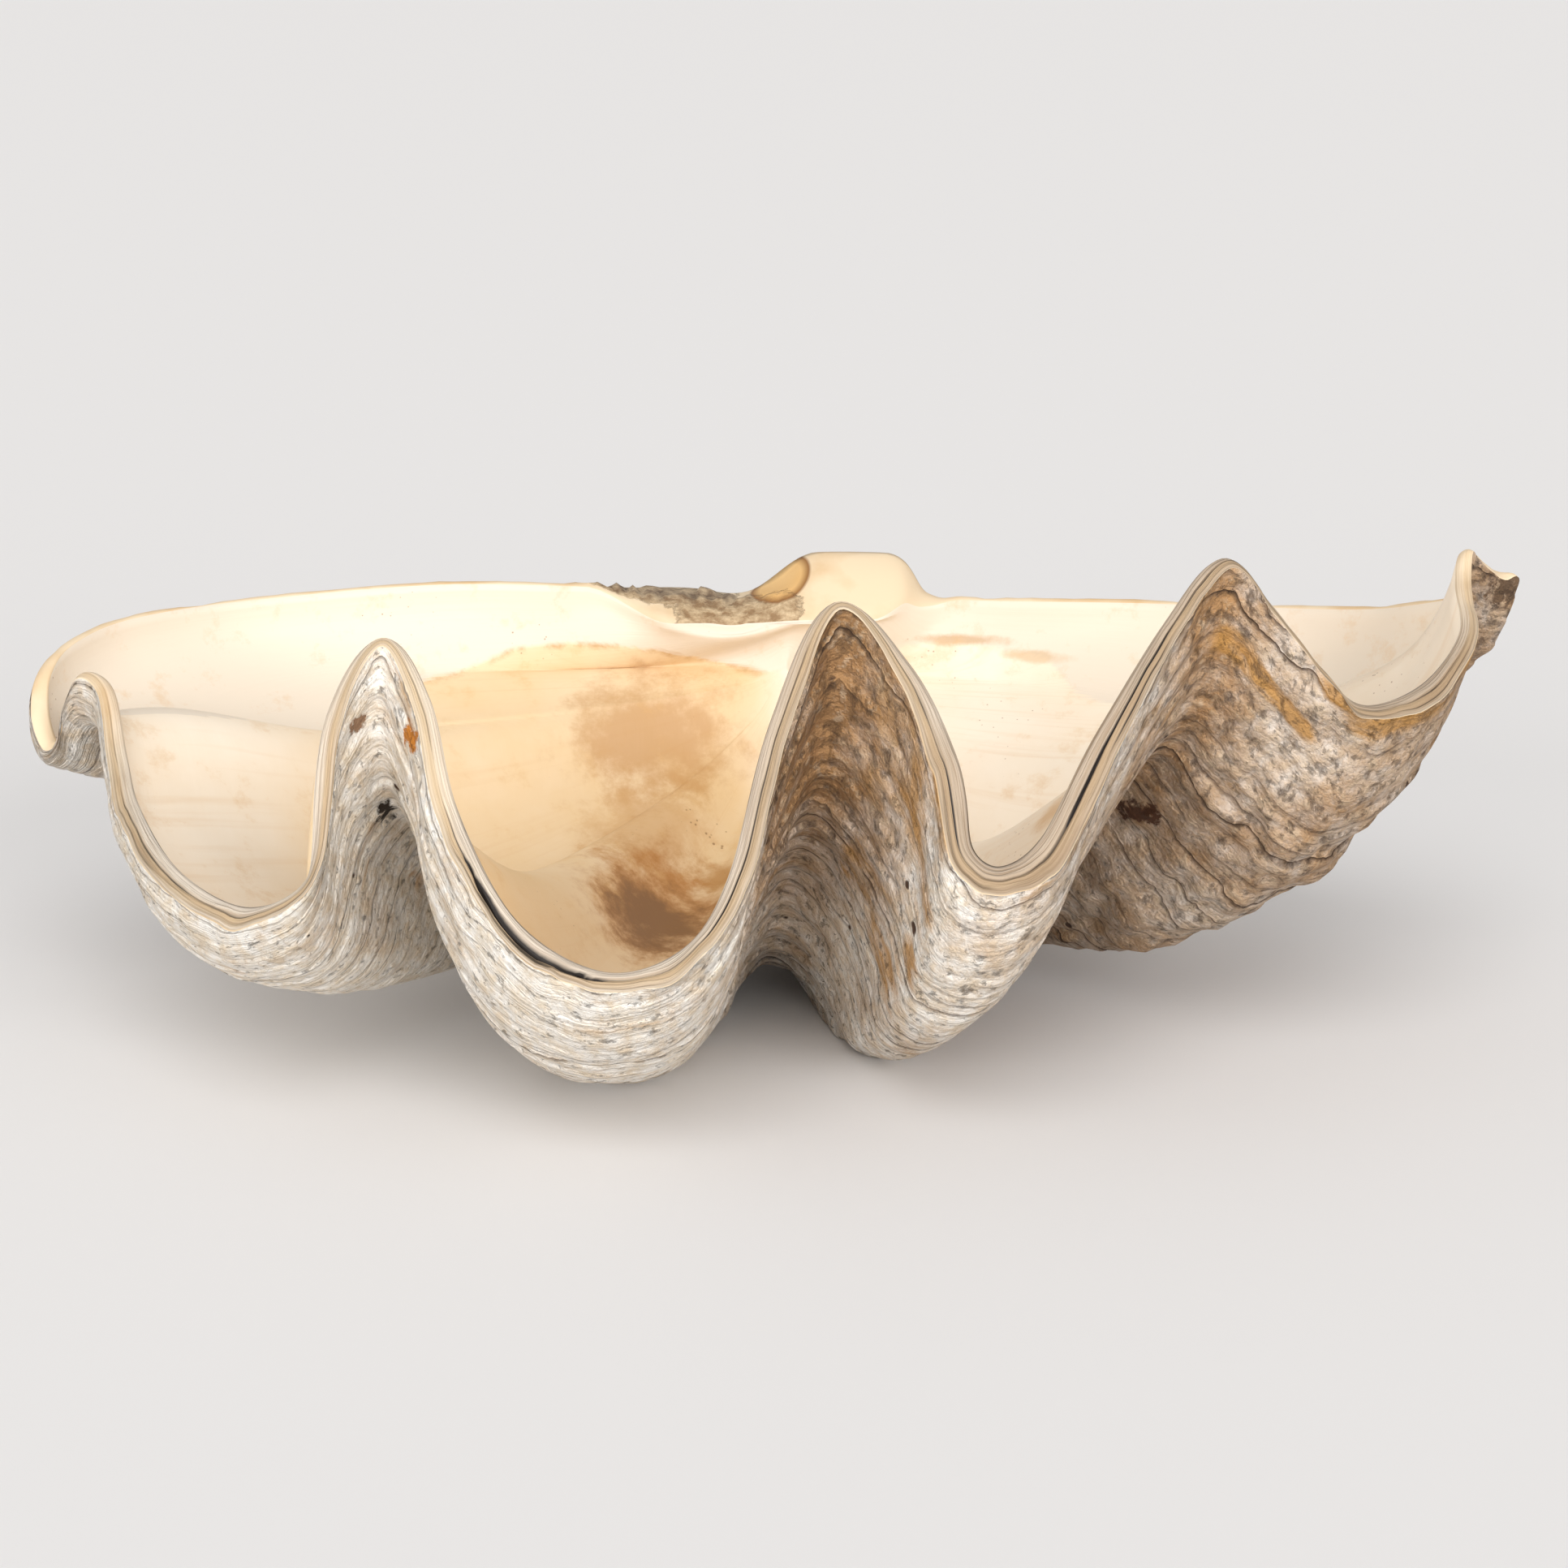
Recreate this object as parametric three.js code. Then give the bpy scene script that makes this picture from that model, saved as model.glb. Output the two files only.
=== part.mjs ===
// One valve of a giant clam, grown as one piece: a fluted bowl resting on its belly, hinge at the back.
// Millimetres, X along the length, Y towards the hinge, Z up. The floor is z = 0.
import * as THREE from 'three';

// Rim of the shell, followed from the hinge round the left end, the front and the right end.
const RIM = [
  [-20, 262, 196], [-62, 260, 199], [-118, 242, 203], [-220, 225, 208], [-339, 180, 207], [-406, 125, 207],
  [-436, 80, 201], [-446, 48, 189], [-445, 28, 170],
  [-436, 15, 153], [-425, 9, 163], [-420, 4, 186], [-410, -2, 201], [-396, -16, 194], [-385, -50, 161],
  [-370, -100, 142], [-339, -160, 122], [-297, -205, 114], [-261, -225, 128], [-240, -225, 156],
  [-230, -205, 226], [-210, -190, 264], [-192, -205, 234], [-177, -235, 180], [-142, -265, 125],
  [-91, -282, 101], [-44, -280, 115], [-15, -262, 153], [6, -225, 226], [33, -195, 284], [63, -205, 252],
  [82, -230, 206], [93, -245, 157], [120, -252, 145], [151, -235, 158], [182, -200, 211], [217, -165, 265],
  [246, -140, 296], [271, -135, 269], [304, -130, 229], [334, -115, 205], [374, -80, 209], [402, -40, 232],
  [405, 2, 254], [410, 22, 269], [428, 42, 255], [444, 62, 243], [401, 110, 221], [357, 150, 209],
  [231, 215, 199], [130, 241, 195], [99, 250, 197], [76, 256, 222], [22, 260, 222],
];

// One row per rib and groove, left to right: its place in RIM, groove share, belly height,
// wall at the belly, lip width across the rim, and how far the inner lip edge stands above the outer.
const FOLDS = [
  { at: 9, groove: 0, belly: 114, wall: 22, lip: 11, step: 3 },
  { at: 12, groove: 1, belly: 112, wall: 20, lip: 10, step: 1 },
  { at: 17, groove: 0, belly: 30, wall: 30, lip: 13, step: 7 },
  { at: 21, groove: 1, belly: 52, wall: 24, lip: 10, step: 2 },
  { at: 25, groove: 0, belly: -10, wall: 32, lip: 14, step: 7 },
  { at: 29, groove: 1, belly: 20, wall: 26, lip: 11, step: 2 },
  { at: 33, groove: 0, belly: -10, wall: 32, lip: 19, step: 10 },
  { at: 37, groove: 1, belly: 58, wall: 24, lip: 11, step: 2 },
  { at: 40, groove: 0, belly: 22, wall: 30, lip: 14, step: 5 },
  { at: 44, groove: 1, belly: 84, wall: 20, lip: 9, step: 1 },
  { at: 46, groove: 0, belly: 88, wall: 20, lip: 9, step: 1 },
];

const BEAK = [-5, 272, 150];          // where all ribs meet, at the back
const CAVITY = [10, -58, 4];          // from the beak to the deepest point under the hinge
const RIB_BELLY = 0.56;               // lowest point of a rib, as a share of beak to rim
const GROOVE_BELLY = 0.50;            // the same for a groove
const GROOVE_LIFT = 34;               // extra rise of a groove's outer flank
const RIB_LIFT = 2;
const BOW = -24;                      // sideways sweep of the ribs
const BACK_SAG = 25;                  // swell of the back wall below the dorsal margin
const BACK_WALL = 20;                 // thickness of that wall
const BEAK_BLUR = 1.4;                // ribs fade towards the beak over this many rim points
const HINGE_LEDGE = 52;               // width of the hinge plate
const HINGE_FALL = -10;               // its inner edge lies lower than its outer edge
const COLUMNS_PER_POINT = 4;
const ROWS = 10;
const SHELL_COLOUR = 0xe6d6bc;

const count = RIM.length * COLUMNS_PER_POINT;

const step = (a, b, x) => {
  const t = Math.min(1, Math.max(0, (x - a) / (b - a)));
  return t * t * (3 - 2 * t);
};
const mix = (a, b, t) => a + (b - a) * t;

// A fold value at a column, eased between the neighbouring rib and groove.
const along = (key, column) => {
  let u = column / COLUMNS_PER_POINT;
  if (u < FOLDS[0].at) u += RIM.length;
  let i = FOLDS.length - 1;
  while (FOLDS[i].at > u) i -= 1;
  const next = FOLDS[(i + 1) % FOLDS.length];
  const end = i + 1 < FOLDS.length ? next.at : next.at + RIM.length;
  return mix(FOLDS[i][key], next[key], step(FOLDS[i].at, end, u));
};

// Averages every point of a closed ring with its neighbours.
const blur = (ring, passes) => {
  let now = ring;
  for (let k = 0; k < passes; k += 1) {
    now = now.map((p, j) => {
      const before = now[(j + count - 1) % count];
      const after = now[(j + 1) % count];
      return p.clone().multiplyScalar(2).add(before).add(after).multiplyScalar(0.25);
    });
  }
  return now;
};

const curve = new THREE.CatmullRomCurve3(RIM.map((p) => new THREE.Vector3(...p)), true, 'catmullrom', 0.5);
const rim = Array.from({ length: count }, (_, j) => curve.getPoint(j / count));
const beak = new THREE.Vector3(...BEAK);
const cavity = new THREE.Vector3(...CAVITY);

// Per column: how steeply it dives to the belly, and whether it lies on the hinge.
const columns = rim.map((r, j) => {
  const dx = r.x - beak.x;
  const dy = r.y - beak.y;
  const far = Math.hypot(dx, dy);
  const angle = THREE.MathUtils.radToDeg(Math.atan2(-dy, Math.abs(dx)));
  const dip = step(2, 36, angle) * step(60, 200, far);
  const groove = along('groove', j);
  const low = mix(RIB_BELLY, GROOVE_BELLY, groove);
  const chord = mix(beak.z, r.z, low) - BACK_SAG * Math.min(far / 150, 1);
  const hinge = step(-125, -60, -Math.abs(r.x + 3)) * step(200, 235, r.y);
  const belly = mix(chord, along('belly', j), dip);
  const lift = dip * mix(RIB_LIFT, GROOVE_LIFT, groove ** 1.5);
  return { dx, dy, dip, low, belly, hinge, lift, wall: mix(BACK_WALL, along('wall', j), dip) };
});

// Outer skin: each column is two quarter ellipses, beak to belly and belly to rim.
const outer = [];
for (let i = 0; i <= ROWS; i += 1) {
  const t = i / ROWS;
  const turn = (t * 2 - 1) * Math.PI / 2;
  const s = Math.sin(turn);
  const ring = rim.map((r, j) => {
    const c = columns[j];
    const reach = s < 0 ? c.low * (1 + s) : mix(c.low, 1, s);
    const top = s < 0 ? beak.z : r.z;
    const swell = s < 0 ? 0 : Math.sin(Math.PI * s ** 1.5) ** 2;
    const z = mix(c.belly, top, 1 - Math.cos(turn)) + c.lift * swell;
    return new THREE.Vector3(beak.x + reach * c.dx, beak.y + reach * c.dy, z);
  });
  const width = BEAK_BLUR * COLUMNS_PER_POINT * (1 - step(0, 0.5, t));
  const soft = blur(ring, Math.round(2 * width * width));
  soft.forEach((p, j) => {
    p.x += BOW * columns[j].dip * 4 * t * (1 - t);
    p.z = Math.max(p.z, 0);
  });
  outer.push(soft);
}

// Lip: from the outer rim level inwards; on the hinge it widens to the hinge plate.
let across = rim.map((r, j) => {
  const along2 = rim[(j + 1) % count].clone().sub(rim[(j + count - 1) % count]);
  return new THREE.Vector3(-along2.y, along2.x, 0).normalize();
});
across = blur(across, 3);
const lip = rim.map((r, j) => {
  const h = columns[j].hinge;
  const way = across[j].lerp(new THREE.Vector3(0, -1, 0), h);
  const offset = way.multiplyScalar(mix(along('lip', j), HINGE_LEDGE, h));
  offset.z = mix(along('step', j), HINGE_FALL, h);
  return offset;
});
const crown = rim.map((r, j) => {
  const p = r.clone().addScaledVector(lip[j], 0.5);
  p.z += mix(2, 5, columns[j].hinge);
  return p;
});

// Inner skin: the outer skin moved inwards by the wall, meeting the lip at the rim.
const inner = [];
for (let i = 0; i <= ROWS; i += 1) {
  const t = i / ROWS;
  const below = outer[Math.max(i - 1, 0)];
  const above = outer[Math.min(i + 1, ROWS)];
  const faces = outer[i].map((p, j) => {
    const up = above[j].clone().sub(below[j]);
    const on = outer[i][(j + 1) % count].clone().sub(outer[i][(j + count - 1) % count]);
    return up.cross(on).normalize();
  });
  const inward = blur(faces, 4);
  const atRim = step(0.6, 1, t);
  inner.push(outer[i].map((p, j) => {
    const c = columns[j];
    const deep = Math.max(1 - step(0, 0.45, t), c.hinge);
    const body = inward[j].clone().normalize().multiplyScalar(c.wall).lerp(cavity, deep);
    return p.clone().add(body.lerp(lip[j], atRim));
  }));
}

// One closed skin: beak, outer rings, lip crown, inner rings back to the cavity.
const rings = [...outer.slice(1), crown, ...inner.slice(1).reverse()];
const points = [beak, ...rings.flat(), beak.clone().add(cavity)];
const last = points.length - 1;
const faces = [];
for (let j = 0; j < count; j += 1) {
  const k = (j + 1) % count;
  faces.push(0, 1 + k, 1 + j);
  for (let i = 0; i + 1 < rings.length; i += 1) {
    const a = 1 + i * count;
    const b = a + count;
    faces.push(a + j, a + k, b + j, a + k, b + k, b + j);
  }
  const end = 1 + (rings.length - 1) * count;
  faces.push(last, end + j, end + k);
}

const geometry = new THREE.BufferGeometry().setFromPoints(points);
geometry.setIndex(faces);
geometry.computeBoundingBox();
const box = geometry.boundingBox;
geometry.translate(-(box.min.x + box.max.x) / 2, -(box.min.y + box.max.y) / 2, -box.min.z);
geometry.computeVertexNormals();

const valve = new THREE.Mesh(geometry, new THREE.MeshStandardMaterial({ color: SHELL_COLOUR, roughness: 0.65 }));
valve.name = 'valve';

const group = new THREE.Group();
group.name = 'giant_clam_shell';
group.add(valve);
export default group;
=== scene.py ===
import bpy
import numpy as np
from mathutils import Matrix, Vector


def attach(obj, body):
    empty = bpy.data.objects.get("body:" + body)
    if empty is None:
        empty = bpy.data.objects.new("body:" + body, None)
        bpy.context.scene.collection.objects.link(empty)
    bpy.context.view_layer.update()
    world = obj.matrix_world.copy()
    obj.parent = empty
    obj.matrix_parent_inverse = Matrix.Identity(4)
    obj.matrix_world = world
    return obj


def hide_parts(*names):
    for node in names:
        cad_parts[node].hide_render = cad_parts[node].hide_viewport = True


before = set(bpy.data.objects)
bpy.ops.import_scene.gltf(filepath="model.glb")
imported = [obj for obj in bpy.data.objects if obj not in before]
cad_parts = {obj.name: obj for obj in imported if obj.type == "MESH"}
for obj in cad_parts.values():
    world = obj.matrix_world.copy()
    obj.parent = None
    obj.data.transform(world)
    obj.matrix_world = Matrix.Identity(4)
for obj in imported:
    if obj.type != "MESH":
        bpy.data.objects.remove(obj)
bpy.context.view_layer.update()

# Rim of the valve.
# The living edge of the shell: one closed line from the hinge round the left end, the front and the right
# end. Every rib and groove starts on it, so the whole surface is worked out from this line. Millimetres,
# x along the length, y towards the hinge, z up from the floor.
RIM = np.array([
    (-20, 262, 196), (-62, 260, 199), (-118, 242, 203), (-220, 225, 208), (-339, 180, 207),
    (-406, 125, 207), (-436, 80, 201), (-446, 48, 189), (-445, 28, 170), (-436, 15, 153),
    (-425, 9, 163), (-420, 4, 186), (-410, -2, 201), (-396, -16, 194), (-385, -50, 161),
    (-370, -100, 142), (-339, -160, 122), (-297, -205, 114), (-261, -225, 128), (-240, -225, 156),
    (-230, -205, 226), (-210, -190, 264), (-192, -205, 234), (-177, -235, 180), (-142, -265, 125),
    (-91, -282, 101), (-44, -280, 115), (-15, -262, 153), (6, -225, 226), (33, -195, 284),
    (63, -205, 252), (82, -230, 206), (93, -245, 157), (120, -252, 145), (151, -235, 158),
    (182, -200, 211), (217, -165, 265), (246, -140, 296), (271, -135, 269), (304, -130, 229),
    (334, -115, 205), (374, -80, 209), (402, -40, 232), (405, 2, 254), (410, 22, 269),
    (428, 42, 255), (444, 62, 243), (401, 110, 221), (357, 150, 209), (231, 215, 199),
    (130, 241, 195), (99, 250, 197), (76, 256, 222), (22, 260, 222),
], dtype=float)
CENTRE = np.array([-1.26, -5.61, 0.0])
PER_POINT = 12
COLUMNS = len(RIM) * PER_POINT
place = np.arange(COLUMNS) / PER_POINT


def rim_line(points, per):
    """Closed Catmull-Rom line: cubic spans whose end slopes are half the chord of the two neighbours."""
    t = np.linspace(0, 1, per, endpoint=False)[None, :, None]
    a, b, c, d = (np.roll(points, shift, axis=0)[:, None] for shift in (1, 0, -1, -2))
    line = b + 0.5 * t * (c - a + t * (2 * a - 5 * b + 4 * c - d + t * (3 * (b - c) + d - a)))
    return line.reshape(-1, 3)


def ease(low, high, x):
    """Smooth step from 0 at low to 1 at high: 3t^2 - 2t^3."""
    t = np.clip((x - low) / (high - low), 0, 1)
    return t * t * (3 - 2 * t)


def between(start, end, soft, x):
    """1 from start to end, eased to 0 over soft on both sides."""
    return ease(start - soft, start, x) * ease(-end - soft, -end, -x)


rim = rim_line(RIM, PER_POINT)
rim_step = np.linalg.norm(np.roll(rim, -1, axis=0) - rim, axis=1)
rim_mm = np.concatenate([[0], np.cumsum(rim_step)])
RIM_LENGTH = rim_mm[-1]

# Ribs and grooves.
# The mantle of the animal lies in deep waves, and the shell it lays down follows them: a rib where the rim
# dips, a groove where it rises to a point. Each list runs rib, groove, rib from left to right.
FOLD_AT = np.array([9, 12, 17, 21, 25, 29, 33, 37, 40, 44, 46], dtype=float)
GROOVE = [0, 1, 0, 1, 0, 1, 0, 1, 0, 1, 0]
BELLY = [114, 112, 30, 52, -10, 20, -10, 58, 22, 84, 88]
WALL = [22, 20, 30, 24, 32, 26, 32, 24, 30, 20, 20]
LIP = [11, 10, 13, 10, 14, 11, 19, 11, 14, 9, 9]
LIP_STEP = [3, 1, 7, 2, 7, 2, 10, 2, 5, 1, 1]


def along(values):
    """A value for every column, eased from each rib to the next groove."""
    at = np.append(FOLD_AT, FOLD_AT[0] + len(RIM))
    value = np.append(values, values[0]).astype(float)
    u = np.where(place < at[0], place + len(RIM), place)
    i = np.clip(np.searchsorted(at, u, side="right") - 1, 0, len(FOLD_AT) - 1)
    return value[i] + (value[i + 1] - value[i]) * ease(at[i], at[i + 1], u)


groove = along(GROOVE)

# Outer skin.
# Each column of growth is two quarter ellipses, from the beak down to the belly and up to the rim. Ribs fade
# towards the beak, and the two lowest are worn flat where the shell stands.
BEAK = np.array([-5.0, 272.0, 150.0])
BEAK_BLUR = 1.4
BACK_SAG = 25
RIB_LOWEST = 0.56
GROOVE_LOWEST = 0.50
RIB_LIFT = 2
GROOVE_LIFT = 34
SWEEP = 24
towards = rim - BEAK
far = np.hypot(towards[:, 0], towards[:, 1])
angle = np.degrees(np.arctan2(-towards[:, 1], np.abs(towards[:, 0])))
dip = ease(2, 36, angle) * ease(60, 200, far)
hinge = ease(-125, -60, -np.abs(rim[:, 0] + 3)) * ease(200, 235, rim[:, 1])
lowest = RIB_LOWEST + (GROOVE_LOWEST - RIB_LOWEST) * groove
chord = BEAK[2] + lowest * towards[:, 2] - BACK_SAG * np.minimum(far / 150, 1)
belly = chord + dip * (along(BELLY) - chord)


def soften(rings, width):
    """Gaussian blur of each ring along itself, by damping its Fourier terms; width in rim points."""
    wave = np.fft.fftfreq(COLUMNS) * 2 * np.pi * PER_POINT
    damp = np.exp(-0.5 * (wave[None] * width[:, None]) ** 2)[..., None]
    return np.real(np.fft.ifft(np.fft.fft(rings, axis=1) * damp, axis=1))


def growth_columns(t):
    """Rows at t from 0 at the beak to 1 at the rim: quarter ellipses in plan reach and height, with the
    flank of a groove lifted and the ribs swept sideways."""
    turn = (t[:, None] * 2 - 1) * np.pi / 2
    s = np.sin(turn)
    reach = np.where(s < 0, lowest * (1 + s), lowest + (1 - lowest) * s)
    top = np.where(s < 0, BEAK[2], rim[:, 2])
    swell = np.sin(np.pi * np.clip(s, 0, 1) ** 1.5) ** 2
    lift = dip * (RIB_LIFT + (GROOVE_LIFT - RIB_LIFT) * groove ** 1.5)
    rows = np.empty(reach.shape + (3,))
    rows[..., :2] = BEAK[:2] + reach[..., None] * towards[:, :2]
    rows[..., 2] = belly + (top - belly) * (1 - np.cos(turn)) + lift * swell
    rows = soften(rows, BEAK_BLUR * (1 - ease(0, 0.5, t)))
    rows[..., 0] -= SWEEP * dip * 4 * (t * (1 - t))[:, None]
    rows[..., 2] = np.maximum(rows[..., 2], 0)
    return rows


def inward_normals(rows):
    """Unit normals of a grid of rows: cross product of its two differences, blurred along the rows."""
    up = np.gradient(rows, axis=0)
    on = np.roll(rows, -1, axis=1) - np.roll(rows, 1, axis=1)
    normal = np.cross(up, on)
    normal /= np.linalg.norm(normal, axis=2, keepdims=True) + 1e-9
    normal = soften(normal, np.full(len(rows), 0.35))
    return normal / (np.linalg.norm(normal, axis=2, keepdims=True) + 1e-9)


t_out = np.concatenate([np.linspace(0, 0.5, 18)[:-1], np.linspace(0.5, 0.8, 36)[:-1],
                        np.linspace(0.8, 1, 54)])
outer = growth_columns(t_out)
outer_in = inward_normals(outer)
step_mm = np.linalg.norm(np.diff(outer, axis=0), axis=2).mean(axis=1)
grown = np.concatenate([np.cumsum(step_mm[::-1])[::-1], [0]])

# Inner skin.
# The same columns moved in by the thickness of the wall, which is thin at the lip, about 30 mm under the
# bowl and thickest behind the hinge.
CAVITY = np.array([10.0, -58.0, 4.0])
BACK_WALL = 20
PLATE_WIDE = 52
PLATE_FALL = 10
PLATE = 186
SETTLE_PASSES = 120
t_in = np.concatenate([np.linspace(1, 0.5, 20), np.linspace(0.5, 0, 14)[1:]])
base = growth_columns(t_in)
body = -inward_normals(base) * (BACK_WALL + dip * (along(WALL) - BACK_WALL))[:, None]
deep = (1 - ease(0, 0.45, t_in)[:, None] * (1 - hinge))[..., None]
body = body + deep * (CAVITY - body)
body = soften(body, 2.5 * (1 - ease(0.1, 0.75, t_in)))
run = np.roll(rim, -1, axis=0) - np.roll(rim, 1, axis=0)
across = np.stack([-run[:, 1], run[:, 0], np.zeros(COLUMNS)], axis=1)
across /= np.linalg.norm(across, axis=1, keepdims=True)
across = soften(across[None], np.array([0.3]))[0]
across += hinge[:, None] * (np.array([0, -1.0, 0]) - across)
lip = across * (along(LIP) + hinge * (PLATE_WIDE - along(LIP)))[:, None]
lip[:, 2] = along(LIP_STEP) * (1 - hinge) - PLATE_FALL * hinge
body += ease(0.6, 1, t_in)[:, None, None] * (lip - body)


def settle(rows, keep, passes):
    """Moves every point half way to the mean of its four neighbours, again and again, and not where keep
    is 1."""
    for _ in range(passes):
        beside = 0.5 * (np.roll(rows, 1, axis=1) + np.roll(rows, -1, axis=1))
        padded = np.concatenate([rows[:1], rows, rows[-1:]])
        mean = 0.85 * beside + 0.075 * (padded[:-2] + padded[2:])
        rows = rows + (1 - keep) * 0.5 * (mean - rows)
    return rows


inner = settle(base + body, ease(0.65, 0.92, t_in)[:, None, None], SETTLE_PASSES)
inner[..., 2] -= 0.9 * hinge * np.maximum(inner[..., 2] - PLATE, 0)

# Growth ledges and wear.
# Each season adds a ledge to the outside, spaced by how old that part of the shell is. The sea wears and
# pits the ledges, most on the right end, and the rim is chipped.
SEASON = 11.5
SLOWING = 260


def grain(across_mm, along_mm, cell, seed):
    """Value noise from -1 to 1: seeded random heights on a lattice, blended with a smooth step. The first
    direction closes on itself after the length of the rim."""
    wide = max(int(round(RIM_LENGTH / cell[0])), 3)
    a = across_mm / RIM_LENGTH * wide
    b = along_mm / cell[1]
    lattice = np.random.default_rng(seed).uniform(-1, 1, (wide, int(b.max()) + 3))
    i = np.floor(a).astype(int)
    j = np.floor(b).astype(int)
    f = ease(0, 1, a - i)
    g = ease(0, 1, b - j)
    near = lattice[i % wide, j] * (1 - f) + lattice[(i + 1) % wide, j] * f
    beyond = lattice[i % wide, j + 1] * (1 - f) + lattice[(i + 1) % wide, j + 1] * f
    return near * (1 - g) + beyond * g


around = np.broadcast_to(rim_mm[:-1], outer.shape[:2])
back = np.broadcast_to(grown[:, None], outer.shape[:2])
age = np.maximum(back + 5 * grain(around, back, (150, 60), 3), 0)
season = SLOWING / SEASON * np.log1p(age / SLOWING) + 0.5 * grain(around, back, (900, 70), 4)
ledge = (season - np.floor(season)) ** 2
worn = 1 + 1.3 * between(38.5, 45.5, 1.5, place) * ease(20, 60, back)
arched = 1.3 * between(27.8, 30.2, 0.9, place) + 0.7 * between(20, 22, 0.7, place)
arched = arched + 0.9 * between(36, 38.2, 0.7, place)
ledge_mm = 0.4 + 0.6 * worn + 0.9 * ease(40, 200, back) + arched
ledges = ledge * ledge_mm * (1.0 + 0.8 * grain(around, back, (90, 40), 5))
rough = 1.5 * grain(around, back, (70, 45), 6) + worn * 0.8 * grain(around, back, (20, 13), 7)
nodules = 2.6 * grain(around, back, (34, 22), 10) + 2.2 * grain(around, back, (13, 9), 22)
rough = rough + (worn - 1) * nodules
chips = 5 * np.clip(grain(around, back * 0, (26, 10), 8) - 0.25, 0, 1)
chips = chips + 0.7 * grain(around, back * 0, (9, 10), 9)
broken = between(43.6, 46.2, 0.4, place)
chips = chips + broken * 5 * grain(around, back * 0, (11, 10), 21)
calm = ease(0.04, 0.25, t_out)[:, None] * (0.4 + 0.6 * ease(0, 8, back))
outer = outer + outer_in * ((ledges + rough) * calm)[..., None]
outer[..., 2] -= chips * np.exp(-back / 7) * (1 - hinge)
outer[..., 2] = np.maximum(outer[..., 2], 0)

# Lip.
# The edge of the shell is a stack of thin layers that have begun to part, with dark gaps between them, the
# widest on the middle rib. At the hinge the lip widens to a plate with one blunt tooth, a socket in its left
# slope and the torn rest of the ligament.
TOOTH_TOP = 222.5
SOCKET = np.array([2.0, 248.0, 205.0])
PARTED_AT = [9, 13, 15, 17, 19, 21, 22.9, 23.6, 24.4, 25.2, 27,
             29, 31, 33, 34, 36.6, 37.4, 39, 40.5, 42.6, 44, 46]
PARTED = [0.3, 0.2, 0.5, 0.9, 0.5, 0.35, 0.35, 0.9, 1, 0.9, 0.6,
          0.35, 0.6, 0.7, 1, 1, 0.7, 0.9, 0.9, 0.25, 0.05, 0.05]
LAYER_AT = np.array([0.08, 0.16, 0.21, 0.26, 0.34, 0.40, 0.44, 0.48, 0.52, 0.57, 0.68, 0.84])
edge_out = outer[-1]
edge_in = inner[0]
crown = edge_out + 0.5 * (edge_in - edge_out)
crown[:, 2] += 2 + 3 * hinge
knee = 2 * crown - 0.5 * (edge_out + edge_in)
k = LAYER_AT[:, None, None]
lip_rows = (1 - k) ** 2 * edge_out + 2 * k * (1 - k) * knee + k ** 2 * edge_in
outward = outer[-1] - outer[-6]
outward /= np.linalg.norm(outward, axis=1, keepdims=True)
lip_around = np.broadcast_to(rim_mm[:-1], lip_rows.shape[:2])
lip_back = np.broadcast_to(LAYER_AT[:, None] * 20, lip_rows.shape[:2])
front = dip * (1 - hinge) * ease(10.5, 12.5, place)
parted = np.interp(place, PARTED_AT, PARTED)
wide_gap = between(23.8, 24.6, 0.6, place)
gap_half = 0.035 + 0.075 * wide_gap + 0.012 * between(34, 36.6, 0.4, place)
main_gap = ease(-1.6, -0.6, -np.abs(LAYER_AT[:, None] - 0.47 + 0.02 * wide_gap) / gap_half)
thin_gap = ease(-1.6, -0.6, -np.abs(LAYER_AT[:, None] - 0.21) / 0.035)
patchy = ease(-0.5, 0.2, grain(lip_around, lip_back * 0, (45, 60), 11))
main_depth = main_gap * parted * (3.5 + 8 * wide_gap) * np.maximum(0.45 + 0.55 * patchy, wide_gap)
thin_depth = thin_gap * parted * 2.2 * ease(-0.5, 0.2, grain(lip_around, lip_back * 0, (60, 60), 14))
gaps = (main_depth + thin_depth) * front
layer_all = np.append(LAYER_AT, 1)[:, None]
torn_rear = between(-112, -44, 34, rim[:, 0]) * ease(-1.0, -0.4, -layer_all)
slant = 0.004 * np.minimum(-rim[:, 0], 60)
torn_front = between(-52, 2, 26, rim[:, 0]) * ease(0.2, 0.75, layer_all + slant)
torn = np.maximum(torn_rear, torn_front) * ease(200, 235, rim[:, 1])
ragged = 3.4 * grain(lip_around, lip_back * 2.6, (6, 9), 12) * torn[:-1]
ragged = ragged * (1 - 0.6 * ease(0.5, 0.8, LAYER_AT[:, None]))
socket_near = (lip_rows - SOCKET) / np.array([20.0, 24.0, 26.0])
socket = 5 * ease(-1.2, 0, -np.linalg.norm(socket_near, axis=2))
lip_wear = front * parted * 0.9 * grain(lip_around, lip_back * 4, (22, 6), 31)
lip_rows = lip_rows - outward * (gaps + ragged + socket + lip_wear)[..., None]
lip_rows[..., 2] -= 0.8 * hinge * np.maximum(lip_rows[..., 2] - TOOTH_TOP, 0)
outer[..., 2] -= 0.8 * hinge * np.maximum(outer[..., 2] - TOOTH_TOP, 0)

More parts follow.
